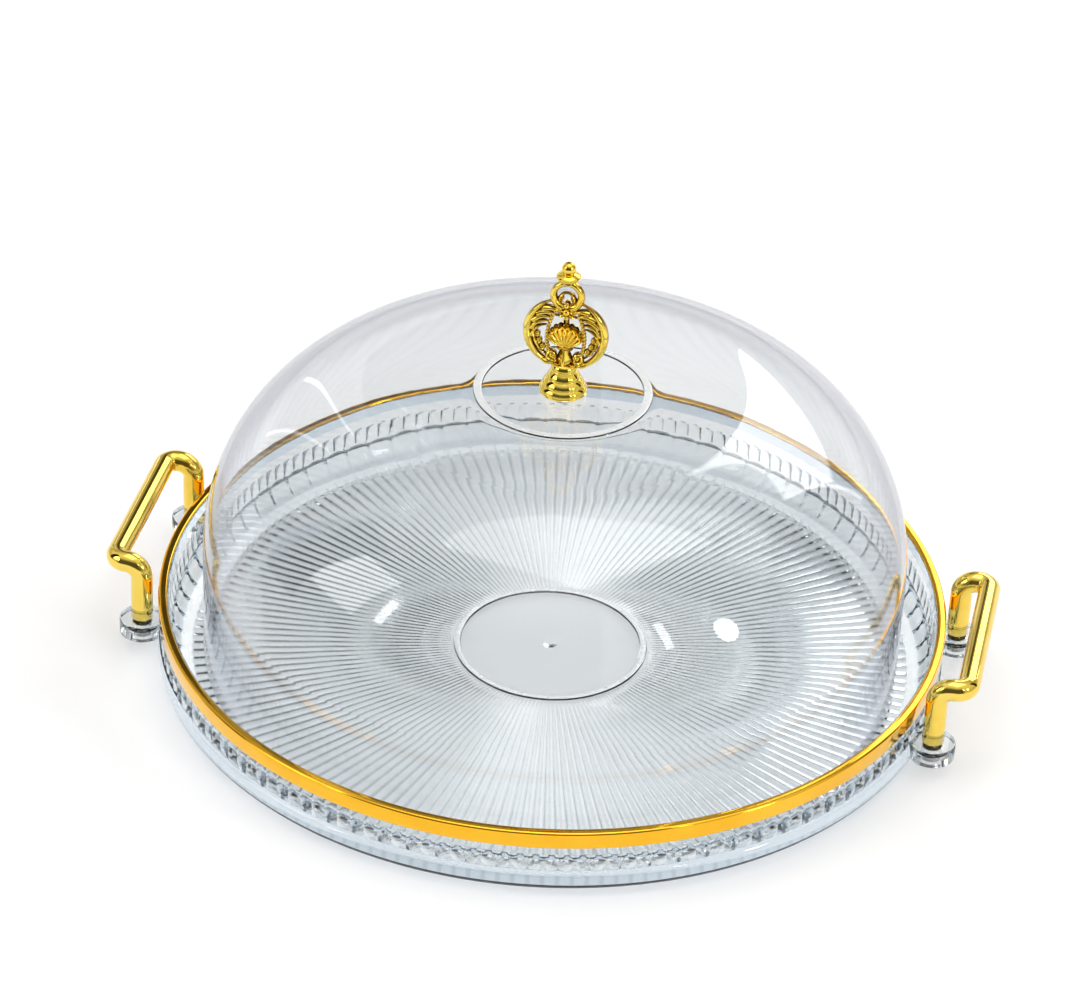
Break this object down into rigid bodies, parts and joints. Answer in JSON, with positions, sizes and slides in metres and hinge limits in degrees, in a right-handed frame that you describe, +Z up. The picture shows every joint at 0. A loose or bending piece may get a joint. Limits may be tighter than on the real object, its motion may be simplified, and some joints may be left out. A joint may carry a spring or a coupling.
{
  "type": "covered serving tray",
  "caption": "Round clear ribbed serving tray with a gilt rim band and bar handles, under a clear dome lid with an ornate gilt finial.",
  "frame": {"origin": "centre of the foot ring on the surface that the tray stands on", "axes": "+Z up through the finial, handles along X, the finial's shell faces -Y and +Y"},
  "size_m": [0.3676, 0.3308, 0.1898],
  "materials": {
    "clear_plastic": "clear moulded acrylic, polished",
    "gold": "mirror-bright gold plating",
    "steel": "plain zinc-plated steel"
  },
  "bodies": {
    "root": {"tray_body": "clear_plastic", "rim_band": "gold", "handle_left": "gold", "handle_right": "gold", "handle_screw_left_front": "steel", "handle_screw_left_back": "steel", "handle_screw_right_front": "steel", "handle_screw_right_back": "steel", "dome_lid": "clear_plastic", "finial": "gold", "finial_screw": "steel", "finial_washer": "clear_plastic"}
  },
  "joints": []
}
